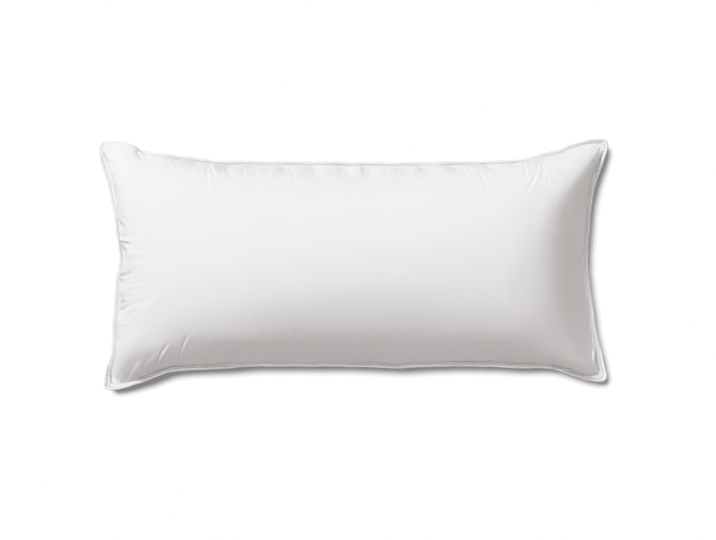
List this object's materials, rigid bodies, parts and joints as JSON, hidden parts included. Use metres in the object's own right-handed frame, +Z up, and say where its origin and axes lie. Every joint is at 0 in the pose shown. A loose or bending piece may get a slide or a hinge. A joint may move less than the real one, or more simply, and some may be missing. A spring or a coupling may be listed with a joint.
{
  "type": "down pillow",
  "caption": "Rectangular white down pillow, filled to a soft crown with drawn-in sides and pointed corners, its edge finished with corded piping.",
  "frame": {"origin": "on the surface that the pillow lies on, under the middle of its whole outline, piping included", "axes": "+X along the pillow's length, +Y across its width, towards the far long side, and +Z up through the crown"},
  "size_m": [0.7744, 0.384, 0.192],
  "materials": {
    "cover_cloth": "fine white down-proof cotton, matt with a slight sheen",
    "piping_cloth": "the same white cotton cut on the bias round a cord"
  },
  "bodies": {
    "root": {"pillow_body": "cover_cloth", "piping": "piping_cloth"}
  },
  "joints": []
}
